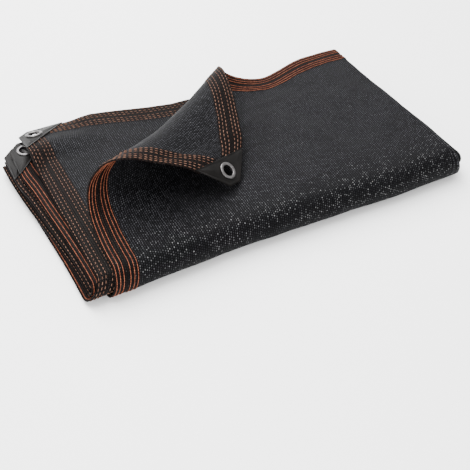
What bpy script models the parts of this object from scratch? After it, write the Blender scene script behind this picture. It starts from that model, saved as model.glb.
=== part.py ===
"""Black knitted shade cloth, folded to eight layers, with its back-left corner turned back.

Metres, +Z up, +X along the pad's long side, +Y to its back. The origin is the centre of the
footprint, on the surface that the cloth lies on. The cloth is one sheet: it is folded in two at
the right end, and the doubled sheet is folded back and forth. All four corners, each with a
sewn patch and an eyelet, lie at the back left.
"""
from collections import namedtuple

import bmesh
import bpy
import numpy as np

# Driving sizes of the cloth
SHEET = 0.0012
HEM = 0.0020
HEM_WIDTH = 0.031
PITCH = 0.0059
LAYERS = 8
FIRST_HEIGHT = SHEET / 2
TOP_HEIGHT = FIRST_HEIGHT + (LAYERS - 1) * PITCH
FRONT_CENTRE = (LAYERS - 1) / 2 * PITCH + SHEET / 2
BACK_CENTRE = 0.285
TOP_BACK_EDGE = 0.299
INNER_BACK_EDGE = 0.294

# Sizes of a corner patch and of its eyelet
PATCH_LEG = 0.0665
PATCH_CUT = 0.015
PATCH_MARGIN = 0.0003
PATCH_THICK = 0.0012
PATCH_GAP = 0.00035
PATCH_SEAM = 0.0075
EYELET_INSET = 0.0208
EYELET_BORE = 0.0073
EYELET_WALL = 0.0006
EYELET_FLANGE = 0.0115
EYELET_BACK_FLANGE = 0.0095
EYELET_THICK = 0.0008
EYELET_EDGE = 0.0008
EYELET_THROAT = 0.0016
EYELET_GAP = 0.0003
EYELET_STEPS = 28
CUT_LEG = PATCH_LEG - PATCH_SEAM
FLAT_FROM = PATCH_LEG + 0.004
FLAT_REACH = 0.108
FRAME_STEP = 0.012

# The folded passes in the order that the sheet runs: height of the doubled sheet's middle in
# pitches, where its left edges and its right fold start and end. The outer ply is the one that
# shows on top.
Pass = namedtuple("Pass", "name level outer_from outer_to inner_from inner_to right_from right_to")
PASSES = (
    Pass("top", 6.5, 0.006, 0.004, -0.018, -0.015, 0.474, 0.479),
    Pass("bottom", 0.5, -0.007, -0.040, -0.034, -0.044, 0.486, 0.482),
    Pass("lower_middle", 2.5, -0.046, -0.024, -0.050, -0.028, 0.486, 0.495),
    Pass("upper_middle", 4.5, -0.026, -0.046, -0.022, -0.038, 0.493, 0.482),
)
# The bends that join them: centre in Y, centre height and radius in pitches, side of the bend
Bend = namedtuple("Bend", "name centre level radius side")
BENDS = (
    Bend("front", FRONT_CENTRE, 3.5, 3.0, -1),
    Bend("back", BACK_CENTRE, 1.5, 1.0, 1),
    Bend("inner_front", FRONT_CENTRE, 3.5, 1.0, -1),
)

# The turned-back corner: the line where the top ply starts to lift, the roll's shape, and the
# width over which the lift fades out towards the front fold
Flap = namedtuple("Flap", "start_x start_y end_x end_y turn_length turn ease curl curl_length taper waist fade")
FLAP = Flap(
    start_x=0.047,
    start_y=-0.020,
    end_x=0.430,
    end_y=TOP_BACK_EDGE,
    turn_length=0.223,
    turn=3.621,
    ease=1.838,
    curl=1.20,
    curl_length=0.191,
    taper=-0.243,
    waist=-0.272,
    fade=0.055,
)
ROLL_STEPS = 400
ROLL_LENGTH = 0.40

# Soft unevenness of the lying pad: its left end is pressed down, less so at the back, its back
# edge has one wide notch, the top swells a little, and the front fold is bowed
LEFT_SQUASH = 0.26
LEFT_SQUASH_FROM = 0.014
LEFT_SQUASH_WIDTH = 0.055
LEFT_SQUASH_KEPT = 0.25
LEFT_SQUASH_BACK = (0.14, 0.12)
NOTCH_X = 0.336
NOTCH_WIDTH = 0.056
NOTCH_DEPTH = 0.017
NOTCH_DROP = 0.0035
NOTCH_BACK = (0.19, 0.10)
SWELL = 0.0016
SWELL_LENGTH = 0.23
SWELL_SLANT = 0.35
SWELL_BACK = (0.02, 0.10)
FRONT_BOW = 0.0025
FRONT_BOW_START = 0.06
FRONT_BOW_LENGTH = 0.46
FRONT_BOW_DEPTH = 0.10

# The inner ply's top pass lies askew: its back edge runs further back at the left end, and its
# corner tips down behind the layers under it. The lowest corners are a little askew too.
SKEW_MIDDLE = 0.0045
SKEW_SWING = 0.0195
SKEW_FROM = 0.05
SKEW_TO = 0.21
SKEW_END = 0.38
SKEW_BACK = (0.03, 0.22)
LOW_SKEW = 0.008
LOW_SKEW_FROM = 0.13
LOW_SKEW_WIDTH = 0.10
TIP_SLOPE = 0.32
TIP_PIVOT = 0.300
TIP_FROM = 0.11
TIP_WIDTH = 0.09
TIP_BACK = (0.235, 0.045)

# Distances from the left edge, and from the back edge, at which the sheet's points stand
EDGE_STATIONS = (0.0, 0.0155, HEM_WIDTH, HEM_WIDTH + 0.002, 0.045, CUT_LEG, 0.069, 0.081)
OUTER_COLUMNS = 19
OUTER_SPAN = (0.0935, 0.372)
OUTER_FAR = (0.41, 0.445)
INNER_FAR = (0.44, 0.38, 0.31, 0.24, 0.17, 0.115)
SQUEEZE_END = 0.0935
FOLD_STEPS = 5
TOP_ROWS = 13
PASS_ROWS = 3
FRONT_STEPS = 9
SMALL_STEPS = 6

# Colours read from the photograph, linear
NET_BLACK = (0.018, 0.019, 0.022, 1.0)
PATCH_GREY = (0.028, 0.029, 0.031, 1.0)
STEEL = (0.62, 0.62, 0.61, 1.0)


def ease(value):
    """Soft step from 0 to 1."""
    clipped = np.clip(value, 0.0, 1.0)
    return clipped * clipped * (3.0 - 2.0 * clipped)


def back_share(y, band):
    """Soft step from 0 to 1 over a band in Y, given by its start and width."""
    return ease((y - band[0]) / band[1])


def make_material(name, colour, roughness, metallic):
    """Plain material of one finish."""
    material = bpy.data.materials.new(name)
    material.use_nodes = True
    shader = material.node_tree.nodes["Principled BSDF"]
    shader.inputs["Base Color"].default_value = colour
    shader.inputs["Roughness"].default_value = roughness
    shader.inputs["Metallic"].default_value = metallic
    return material


def row_stations():
    """One row for each line across the section: pass, bend, share of the way along it."""
    rows = []
    back_rows = [("pass", 0, distance) for distance in EDGE_STATIONS]
    length = TOP_BACK_EDGE - FRONT_CENTRE
    last = EDGE_STATIONS[-1]
    front_rows = [("pass", 0, last + (length - last) * step / TOP_ROWS) for step in range(1, TOP_ROWS)]
    rows += back_rows + front_rows
    rows += [("bend", 0, step / FRONT_STEPS) for step in range(FRONT_STEPS + 1)]
    rows += [("pass", 1, (BACK_CENTRE - FRONT_CENTRE) * step / PASS_ROWS) for step in range(1, PASS_ROWS)]
    rows += [("bend", 1, step / SMALL_STEPS) for step in range(SMALL_STEPS + 1)]
    rows += [("pass", 2, (BACK_CENTRE - FRONT_CENTRE) * step / PASS_ROWS) for step in range(1, PASS_ROWS)]
    rows += [("bend", 2, step / SMALL_STEPS) for step in range(SMALL_STEPS + 1)]
    length = INNER_BACK_EDGE - FRONT_CENTRE
    rows += [("pass", 3, (length - last) * step / PASS_ROWS) for step in range(1, PASS_ROWS)]
    rows += [("pass", 3, length - distance) for distance in reversed(EDGE_STATIONS)]
    return rows


def section_point(kind, index, where):
    """Middle of the doubled sheet on one row: y, z, and the outward normal's y and z."""
    if kind == "bend":
        bend = BENDS[index]
        angle = np.pi * where
        rises = index > 0
        height = -np.cos(angle) if rises else np.cos(angle)
        reach = np.sin(angle) * bend.side
        y = bend.centre + reach * bend.radius * PITCH
        z = FIRST_HEIGHT + (bend.level + height * bend.radius) * PITCH
        inward = -1.0 if index == 2 else 1.0
        return y, z, reach * inward, height * inward
    row = PASSES[index]
    z = FIRST_HEIGHT + row.level * PITCH
    starts = (TOP_BACK_EDGE, FRONT_CENTRE, BACK_CENTRE, FRONT_CENTRE)
    direction = -1.0 if index in (0, 2) else 1.0
    up = -1.0 if index in (1, 3) else 1.0
    return starts[index] + direction * where, z, 0.0, up


def row_edges(kind, index, where):
    """Left edge of the outer ply, of the inner ply, and the right fold on one row."""
    if kind == "bend":
        before = PASSES[index]
        after = PASSES[index + 1]
        share = where
        pairs = (
            (before.outer_to, after.outer_from),
            (before.inner_to, after.inner_from),
            (before.right_to, after.right_from),
        )
    else:
        row = PASSES[index]
        lengths = (
            TOP_BACK_EDGE - FRONT_CENTRE,
            BACK_CENTRE - FRONT_CENTRE,
            BACK_CENTRE - FRONT_CENTRE,
            INNER_BACK_EDGE - FRONT_CENTRE,
        )
        share = where / lengths[index]
        pairs = (
            (row.outer_from, row.outer_to),
            (row.inner_from, row.inner_to),
            (row.right_from, row.right_to),
        )
    return [start + (end - start) * ease(share) for start, end in pairs]


def edge_distance(kind, index, where):
    """Distance from the nearer free edge of the two that the section ends in."""
    if kind == "pass" and index == 0:
        return where
    if kind == "pass" and index == 3:
        return INNER_BACK_EDGE - FRONT_CENTRE - where
    return 1.0


def column_stations():
    """One row for each line along the section: ply, distance from its left edge or fold angle."""
    columns = [("outer", distance) for distance in EDGE_STATIONS]
    columns += [("outer", distance) for distance in np.linspace(*OUTER_SPAN, OUTER_COLUMNS)]
    columns += [("outer", distance) for distance in OUTER_FAR]
    columns += [("fold", np.pi * step / FOLD_STEPS) for step in range(FOLD_STEPS + 1)]
    columns += [("inner", distance) for distance in INNER_FAR]
    columns += [("inner", distance) for distance in reversed(EDGE_STATIONS)]
    return columns


def roll_profile():
    """The lifted sheet's own section: length along it, way back over the pad, and rise."""
    length = np.linspace(0.0, ROLL_LENGTH, ROLL_STEPS)
    turned = FLAP.turn * ease(np.clip(length / FLAP.turn_length, 0.0, 1.0) ** FLAP.ease)
    curled = np.clip((length - FLAP.turn_length) / FLAP.curl_length, 0.0, 1.0)
    angle = turned + FLAP.curl * curled * curled
    middle = (angle[1:] + angle[:-1]) / 2
    step = length[1] - length[0]
    across = np.concatenate([[0.0], np.cumsum(np.cos(middle)) * step])
    rise = np.concatenate([[0.0], np.cumsum(np.sin(middle)) * step])
    return length, across, rise


ROLL = roll_profile()


def roll_back(x, y, z):
    """Lifts a point of the top ply that lies beyond the flap's line and rolls it over."""
    start = np.array([FLAP.start_x, FLAP.start_y])
    end = np.array([FLAP.end_x, FLAP.end_y])
    line_length = np.linalg.norm(end - start)
    along = (end - start) / line_length
    to_corner = np.array([-along[1], along[0]])
    offset = np.array([x, y]) - start
    place = offset @ along
    beyond = offset @ to_corner
    if beyond <= 0.0:
        return x, y, z
    share = place / line_length - 0.5
    scale = 1.0 + FLAP.taper * share + FLAP.waist * (1.0 - 4.0 * share * share)
    length, across, rise = ROLL
    reach = np.interp(beyond / scale, length, across) * scale
    lift = np.interp(beyond / scale, length, rise) * scale
    flat = start + along * place + to_corner * reach
    share = ease((y - FRONT_CENTRE) / FLAP.fade)
    return x + (flat[0] - x) * share, y + (flat[1] - y) * share, z + lift * share


def set_askew(x, y, z, index):
    """Moves a point of a pass whose back-left corner lies askew."""
    if index == 3:
        return x, y + LOW_SKEW * ease((LOW_SKEW_FROM - x) / LOW_SKEW_WIDTH) * back_share(y, SKEW_BACK), z
    turn = np.clip((x - SKEW_FROM) / (SKEW_TO - SKEW_FROM), 0.0, 1.0)
    shift = SKEW_MIDDLE + SKEW_SWING * np.cos(np.pi * turn)
    shift *= 1.0 - ease((x - SKEW_TO) / (SKEW_END - SKEW_TO))
    y = y + shift * back_share(y, SKEW_BACK)
    tipped = ease((TIP_FROM - x) / TIP_WIDTH) * back_share(y, TIP_BACK)
    return x, y, z - TIP_SLOPE * (y - TIP_PIVOT) * tipped


def settle(x, y, z):
    """The lying pad's unevenness, the same for every layer so that none meets another."""
    under = np.clip((z - FIRST_HEIGHT) / (TOP_HEIGHT - FIRST_HEIGHT), 0.0, 1.0)
    squash = LEFT_SQUASH * ease((LEFT_SQUASH_FROM - x) / LEFT_SQUASH_WIDTH)
    squash *= 1.0 - (1.0 - LEFT_SQUASH_KEPT) * back_share(y, LEFT_SQUASH_BACK)
    notch = np.exp(-(((x - NOTCH_X) / NOTCH_WIDTH) ** 2)) * back_share(y, NOTCH_BACK)
    swell = np.sin(2 * np.pi * (x + SWELL_SLANT * y) / SWELL_LENGTH) * back_share(y, SWELL_BACK)
    lower = squash * TOP_HEIGHT + NOTCH_DROP * notch - SWELL * swell
    bow = FRONT_BOW * np.sin(2 * np.pi * (x - FRONT_BOW_START) / FRONT_BOW_LENGTH)
    bow *= ease((FRONT_BOW_DEPTH - y) / FRONT_BOW_DEPTH)
    return x, y - NOTCH_DEPTH * notch + bow, z - under * lower


def squeeze(distance, cut):
    """Moves a point that a cut corner would leave outside the sheet to the cut's inner side."""
    if distance >= SQUEEZE_END:
        return distance
    return cut + distance * (SQUEEZE_END - cut) / SQUEEZE_END


def free_point(ply, distance, kind, index, where):
    """A point of the sheet's middle, before a corner patch stiffens it."""
    y, z, normal_y, normal_z = section_point(kind, index, where)
    left_outer, left_inner, right = row_edges(kind, index, where)
    if ply == "fold":
        x = right + np.sin(distance) * PITCH / 2
        side = np.cos(distance) / 2
    else:
        x = distance + (left_outer if ply == "outer" else left_inner)
        side = 0.5 if ply == "outer" else -0.5
    y += side * PITCH * normal_y
    z += side * PITCH * normal_z
    if kind == "pass" and ply == "outer" and index == 0:
        x, y, z = roll_back(x, y, z)
    elif kind == "pass" and ply != "fold" and index in (0, 3):
        x, y, z = set_askew(x, y, z, index)
    return np.array(settle(x, y, z))


def corner_frame(ply, index):
    """Flat frame of a patched corner: eyelet centre, and unit steps from the left and back edges."""
    def at(from_left, from_back):
        span = INNER_BACK_EDGE if index == 3 else TOP_BACK_EDGE
        where = from_back if index == 0 else span - FRONT_CENTRE - from_back
        return free_point(ply, from_left, "pass", index, where)

    near = EYELET_INSET - FRAME_STEP
    far = EYELET_INSET + FRAME_STEP
    centre = at(EYELET_INSET, EYELET_INSET)
    across = at(far, EYELET_INSET) - at(near, EYELET_INSET)
    across /= np.linalg.norm(across)
    down = at(EYELET_INSET, far) - at(EYELET_INSET, near)
    down -= across * (down @ across)
    down /= np.linalg.norm(down)
    return centre, across, down


# Each corner: the ply and the pass that end in it
Corner = namedtuple("Corner", "name ply index")
CORNERS = (
    Corner("flap", "outer", 0),
    Corner("second", "inner", 0),
    Corner("third", "inner", 3),
    Corner("fourth", "outer", 3),
)
FRAMES = {(corner.ply, corner.index): corner_frame(corner.ply, corner.index) for corner in CORNERS}


def sheet_point(ply, distance, kind, index, where):
    """A point of the sheet's middle, flat near a patch."""
    from_back = edge_distance(kind, index, where)
    if ply == "fold" or from_back > FLAT_REACH:
        return free_point(ply, distance, kind, index, where)
    if from_back < CUT_LEG:
        distance = squeeze(distance, CUT_LEG - from_back)
    point = free_point(ply, distance, kind, index, where)
    stiff = 1.0 - ease((distance + from_back - FLAT_FROM) / (FLAT_REACH - FLAT_FROM))
    if stiff <= 0.0:
        return point
    centre, across, down = FRAMES[(ply, index)]
    flat = centre + across * (distance - EYELET_INSET) + down * (from_back - EYELET_INSET)
    return flat * stiff + point * (1.0 - stiff)


def sheet_thickness(ply, distance, kind, index, where):
    """Thickness at a point: more along the hemmed edges."""
    near_left = ply != "fold" and distance <= HEM_WIDTH + 1e-6
    near_back = edge_distance(kind, index, where) <= HEM_WIDTH + 1e-6
    return HEM if near_left or near_back else SHEET


def grid_normals(points):
    """Unit normals of a grid of points."""
    along = np.gradient(points, axis=0)
    across = np.gradient(points, axis=1)
    normals = np.cross(across, along)
    return normals / np.linalg.norm(normals, axis=2, keepdims=True)


def add_object(name, mesh_builder, material):
    """Turns a bmesh into a named object with outward faces."""
    bmesh.ops.recalc_face_normals(mesh_builder, faces=mesh_builder.faces)
    mesh = bpy.data.meshes.new(name)
    mesh_builder.to_mesh(mesh)
    mesh_builder.free()
    mesh.materials.append(material)
    mesh.shade_smooth()
    mesh.set_sharp_from_angle(angle=np.radians(40))
    thing = bpy.data.objects.new(name, mesh)
    bpy.context.collection.objects.link(thing)
    return thing


def build_cloth(material):
    """The folded cloth: a grid on each face of the sheet, closed around its rim."""
    rows = row_stations()
    columns = column_stations()
    points = np.array([[sheet_point(*column, *row) for column in columns] for row in rows])
    half = np.array([[sheet_thickness(*column, *row) / 2 for column in columns] for row in rows])
    normals = grid_normals(points)
    mesh = bmesh.new()
    faces = []
    for side in (1.0, -1.0):
        placed = points + normals * half[:, :, None] * side
        placed[:, :, 2] = np.maximum(placed[:, :, 2], 0.0)
        faces.append([[mesh.verts.new(place) for place in line] for line in placed])
    height = len(rows)
    width = len(columns)
    for grid in faces:
        for i in range(height - 1):
            for j in range(width - 1):
                mesh.faces.new((grid[i][j], grid[i + 1][j], grid[i][j + 1]))
                mesh.faces.new((grid[i + 1][j], grid[i + 1][j + 1], grid[i][j + 1]))
    rim = [(0, j) for j in range(width)] + [(i, width - 1) for i in range(1, height)]
    rim += [(height - 1, j) for j in range(width - 2, -1, -1)] + [(i, 0) for i in range(height - 2, 0, -1)]
    for (i, j), (k, m) in zip(rim, rim[1:] + rim[:1]):
        mesh.faces.new((faces[0][i][j], faces[0][k][m], faces[1][k][m], faces[1][i][j]))
    return add_object("cloth", mesh, material)


def patch_outline():
    """Corner triangle with its tip cut off, from the left and back edges."""
    return (
        (PATCH_CUT, PATCH_MARGIN),
        (PATCH_LEG, PATCH_MARGIN),
        (PATCH_MARGIN, PATCH_LEG),
        (PATCH_MARGIN, PATCH_CUT),
    )


def corner_normal(corner):
    """The side of the sheet that the patch is on."""
    across, down = FRAMES[(corner.ply, corner.index)][1:]
    normal = np.cross(down, across)
    return normal if normal[2] > 0.0 else -normal


def build_patch(corner, material):
    """A flat patch with a round hole, sewn over the corner."""
    centre, across, down = FRAMES[(corner.ply, corner.index)]
    normal = corner_normal(corner)
    hole = EYELET_BORE + EYELET_WALL + EYELET_GAP
    outline = [np.array(point) - EYELET_INSET for point in patch_outline()]
    spokes = []
    for step in range(EYELET_STEPS):
        angle = 2 * np.pi * step / EYELET_STEPS
        spokes.append(np.array([np.cos(angle), np.sin(angle)]))
    outer = [ray_to_outline(spoke, outline) for spoke in spokes]
    angles = np.array([np.arctan2(spoke[1], spoke[0]) for spoke in spokes])
    for point in outline:
        angle = np.arctan2(point[1], point[0])
        gap = np.abs((angles - angle + np.pi) % (2 * np.pi) - np.pi)
        outer[int(np.argmin(gap))] = point
    inner = [spoke * hole for spoke in spokes]
    low = HEM / 2 + PATCH_GAP
    mesh = bmesh.new()
    rings = []
    for loop, height in ((outer, low), (outer, low + PATCH_THICK), (inner, low + PATCH_THICK), (inner, low)):
        ring = []
        for flat in loop:
            place = centre + across * flat[0] + down * flat[1] + normal * height
            ring.append(mesh.verts.new(place))
        rings.append(ring)
    for one, other in zip(rings, rings[1:] + rings[:1]):
        for k in range(EYELET_STEPS):
            m = (k + 1) % EYELET_STEPS
            mesh.faces.new((one[k], one[m], other[m], other[k]))
    return add_object(f"patch_{corner.name}", mesh, material)


def ray_to_outline(direction, outline):
    """Where a ray from the eyelet's centre leaves the patch."""
    best = None
    for start, end in zip(outline, outline[1:] + outline[:1]):
        edge = end - start
        matrix = np.array([direction, -edge]).T
        if abs(np.linalg.det(matrix)) < 1e-12:
            continue
        reach, share = np.linalg.solve(matrix, start)
        if reach > 0 and -1e-9 <= share <= 1 + 1e-9:
            best = reach if best is None else min(best, reach)
    return direction * best


def build_eyelet(corner, material):
    """A flanged metal ring through the patch."""
    centre, across, down = FRAMES[(corner.ply, corner.index)]
    normal = corner_normal(corner)
    low = HEM / 2 + PATCH_GAP
    top = low + PATCH_THICK + EYELET_GAP
    base = low - EYELET_GAP
    wall = EYELET_BORE + EYELET_WALL
    profile = (
        (EYELET_BORE, base - EYELET_THICK),
        (EYELET_BACK_FLANGE, base - EYELET_THICK),
        (EYELET_BACK_FLANGE, base),
        (wall, base),
        (wall, top),
        (EYELET_FLANGE, top),
        (EYELET_FLANGE - EYELET_EDGE, top + EYELET_THICK),
        (EYELET_BORE + EYELET_THROAT, top + EYELET_THICK),
        (EYELET_BORE, top),
    )
    mesh = bmesh.new()
    rings = []
    for radius, height in profile:
        ring = []
        for step in range(EYELET_STEPS):
            angle = 2 * np.pi * step / EYELET_STEPS
            place = centre + normal * height
            place = place + across * radius * np.cos(angle) + down * radius * np.sin(angle)
            ring.append(mesh.verts.new(place))
        rings.append(ring)
    for one, other in zip(rings, rings[1:] + rings[:1]):
        for k in range(EYELET_STEPS):
            m = (k + 1) % EYELET_STEPS
            mesh.faces.new((one[k], one[m], other[m], other[k]))
    return add_object(f"eyelet_{corner.name}", mesh, material)


def centre_footprint(things):
    """Moves every mesh so that the footprint's centre is the origin."""
    places = np.array([vertex.co[:] for thing in things for vertex in thing.data.vertices])
    middle = (places.min(axis=0) + places.max(axis=0)) / 2
    for thing in things:
        for vertex in thing.data.vertices:
            vertex.co.x -= middle[0]
            vertex.co.y -= middle[1]


def main():
    """Builds the cloth, its patches and its eyelets."""
    for thing in list(bpy.data.objects):
        bpy.data.objects.remove(thing)
    net = make_material("net", NET_BLACK, 0.85, 0.0)
    patch = make_material("patch", PATCH_GREY, 0.6, 0.0)
    steel = make_material("steel", STEEL, 0.3, 1.0)
    things = [build_cloth(net)]
    for corner in CORNERS:
        things.append(build_patch(corner, patch))
        things.append(build_eyelet(corner, steel))
    centre_footprint(things)


main()
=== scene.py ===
"""The folded black shade cloth: knitted net, stitched hems, corner patches and eyelets.

Metres, +Z up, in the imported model's frame. The sheet is one grid that follows the folds of the
solid: it is folded in two at the right end, and the doubled sheet goes back and forth. Each
place on it is a distance from its left edge and a row of the section.
"""
import logging
import math
from dataclasses import dataclass, field
from enum import Enum

import bmesh
import bpy
import numpy as np
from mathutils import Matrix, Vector


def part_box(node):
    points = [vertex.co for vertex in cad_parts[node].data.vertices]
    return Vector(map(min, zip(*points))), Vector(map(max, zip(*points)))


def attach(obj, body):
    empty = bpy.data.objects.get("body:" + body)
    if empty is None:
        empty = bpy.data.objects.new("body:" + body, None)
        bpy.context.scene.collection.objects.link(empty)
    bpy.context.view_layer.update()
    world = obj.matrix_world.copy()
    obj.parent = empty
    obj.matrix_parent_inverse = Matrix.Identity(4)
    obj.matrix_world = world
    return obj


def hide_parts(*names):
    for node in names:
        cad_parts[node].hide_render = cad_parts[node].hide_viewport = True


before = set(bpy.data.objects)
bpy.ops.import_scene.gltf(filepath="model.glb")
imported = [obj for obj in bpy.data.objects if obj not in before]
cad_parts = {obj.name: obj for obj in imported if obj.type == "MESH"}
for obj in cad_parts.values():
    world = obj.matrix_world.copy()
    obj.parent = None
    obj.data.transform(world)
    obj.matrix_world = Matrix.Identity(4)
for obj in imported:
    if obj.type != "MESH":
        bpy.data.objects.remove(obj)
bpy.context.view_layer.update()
LOG = logging.getLogger("shade_cloth")


class Ply(Enum):
    """The two halves of the sheet on either side of its fold at the right end."""

    OUTER = "outer"
    FOLD = "fold"
    INNER = "inner"


class Face(Enum):
    """The two sides of the sheet: the one that shows on top of the pad, and the other."""

    RIGHT = 1.0
    WRONG = -1.0


class Kind(Enum):
    """A straight pass of the folded section, or a bend between two passes."""

    PASS = "pass"
    BEND = "bend"


def ease(value: np.ndarray | float) -> np.ndarray | float:
    """Soft step from 0 to 1."""
    clipped = np.clip(value, 0.0, 1.0)
    return clipped * clipped * (3.0 - 2.0 * clipped)


def band(value: np.ndarray, limits: tuple) -> np.ndarray:
    """Soft step from 0 to 1 over a band, given by its start and width."""
    return ease((value - limits[0]) / limits[1])


def add_node(tree: bpy.types.NodeTree, kind: str, settings: dict | None, inputs: dict | None) -> bpy.types.Node:
    """Adds any node to a tree.

    Args:
        tree: the node tree.
        kind: the node's type.
        settings: its properties, which are set first.
        inputs: values or links by socket name or index.

    Returns:
        The new node.
    """
    node = tree.nodes.new(kind)
    for key, setting in (settings or {}).items():
        setattr(node, key, setting)
    for key, entry in (inputs or {}).items():
        link = entry.socket if isinstance(entry, Value) else entry
        if isinstance(link, bpy.types.NodeSocket):
            tree.links.new(link, node.inputs[key])
        else:
            node.inputs[key].default_value = link
    return node


class Value:
    """A number in a node tree that Python's operators can work on."""

    def __init__(self, graph: "Graph", socket: bpy.types.NodeSocket) -> None:
        """Wraps one output socket."""
        self.graph = graph
        self.socket = socket

    def maths(self, operation: str, other: "Value | float | None" = None) -> "Value":
        """Adds a Math node.

        Args:
            operation: the Math node's operation.
            other: its second input, if it has one.

        Returns:
            The node's result.
        """
        inputs = {0: self} if other is None else {0: self, 1: other}
        return self.graph.value("ShaderNodeMath", {"operation": operation}, inputs)

    def __add__(self, other: "Value | float") -> "Value":
        """Sum."""
        return self.maths("ADD", other)

    def __radd__(self, other: float) -> "Value":
        """Sum with a plain number first."""
        return self.maths("ADD", other)

    def __sub__(self, other: "Value | float") -> "Value":
        """Difference."""
        return self.maths("SUBTRACT", other)

    def __rsub__(self, other: float) -> "Value":
        """Difference from a plain number."""
        return (self * -1.0).maths("ADD", other)

    def __mul__(self, other: "Value | float") -> "Value":
        """Product."""
        return self.maths("MULTIPLY", other)

    def __rmul__(self, other: float) -> "Value":
        """Product with a plain number first."""
        return self.maths("MULTIPLY", other)

    def __pow__(self, other: "Value | float") -> "Value":
        """Power."""
        return self.maths("POWER", other)

    def size(self) -> "Value":
        """Absolute value."""
        return self.maths("ABSOLUTE")

    def part(self) -> "Value":
        """Fractional part."""
        return self.maths("FRACT")

    def whole(self) -> "Value":
        """Whole part."""
        return self.maths("FLOOR")

    def rise(self, low: float, high: float) -> "Value":
        """Soft step from 0 at low to 1 at high."""
        settings = {"interpolation_type": "SMOOTHSTEP"}
        inputs = {"Value": self, "From Min": low, "From Max": high}
        return self.graph.value("ShaderNodeMapRange", settings, inputs)


class Graph:
    """One material's node tree."""

    def __init__(self, name: str, **constants: float | tuple) -> None:
        """Starts a material whose shader has these constant inputs.

        Args:
            name: the material's name.
            constants: shader inputs by name, with underscores for spaces.
        """
        self.material = bpy.data.materials.new(name)
        self.material.use_nodes = True
        self.tree = self.material.node_tree
        self.shader = self.tree.nodes["Principled BSDF"]
        for key, constant in constants.items():
            self.shader.inputs[key.replace("_", " ")].default_value = constant

    def node(self, kind: str, settings: dict | None = None, inputs: dict | None = None) -> bpy.types.Node:
        """Adds any node to this material."""
        return add_node(self.tree, kind, settings, inputs)

    def value(
        self, kind: str, settings: dict | None = None, inputs: dict | None = None, output: int | str = 0
    ) -> Value:
        """Adds any node and wraps one of its outputs.

        Args:
            kind: the node's type.
            settings: its properties.
            inputs: values or links by socket name or index.
            output: which output to wrap.

        Returns:
            The wrapped output.
        """
        return Value(self, self.node(kind, settings, inputs).outputs[output])

    def blend(self, share: Value | float, one: object, other: object) -> bpy.types.NodeSocket:
        """Mixes two colours.

        Args:
            share: how much of the second colour, 0 to 1.
            one: first colour or its socket.
            other: second colour or its socket.

        Returns:
            The mixed colour's socket.
        """
        settings = {"data_type": "RGBA", "clamp_factor": True}
        node = self.node("ShaderNodeMix", settings, {0: share, 6: one, 7: other})
        return node.outputs[2]

    def noise(self, vector: bpy.types.NodeSocket, scale: float, detail: float = 3.0) -> Value:
        """Cloudy noise from 0 to 1."""
        inputs = {"Vector": vector, "Scale": scale, "Detail": detail}
        return self.value("ShaderNodeTexNoise", {"noise_dimensions": "3D"}, inputs, "Fac")

    def feed(self, **links: object) -> None:
        """Links sockets or wrapped values to the shader's inputs."""
        for key, link in links.items():
            socket = link.socket if isinstance(link, Value) else link
            self.tree.links.new(socket, self.shader.inputs[key.replace("_", " ")])

    def bump(self, height: Value, strength: float, distance: float) -> None:
        """Feeds a bump of this height map to the shader."""
        inputs = {"Height": height, "Strength": strength, "Distance": distance}
        node = self.node("ShaderNodeBump", None, inputs)
        self.feed(Normal=node.outputs["Normal"])


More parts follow.
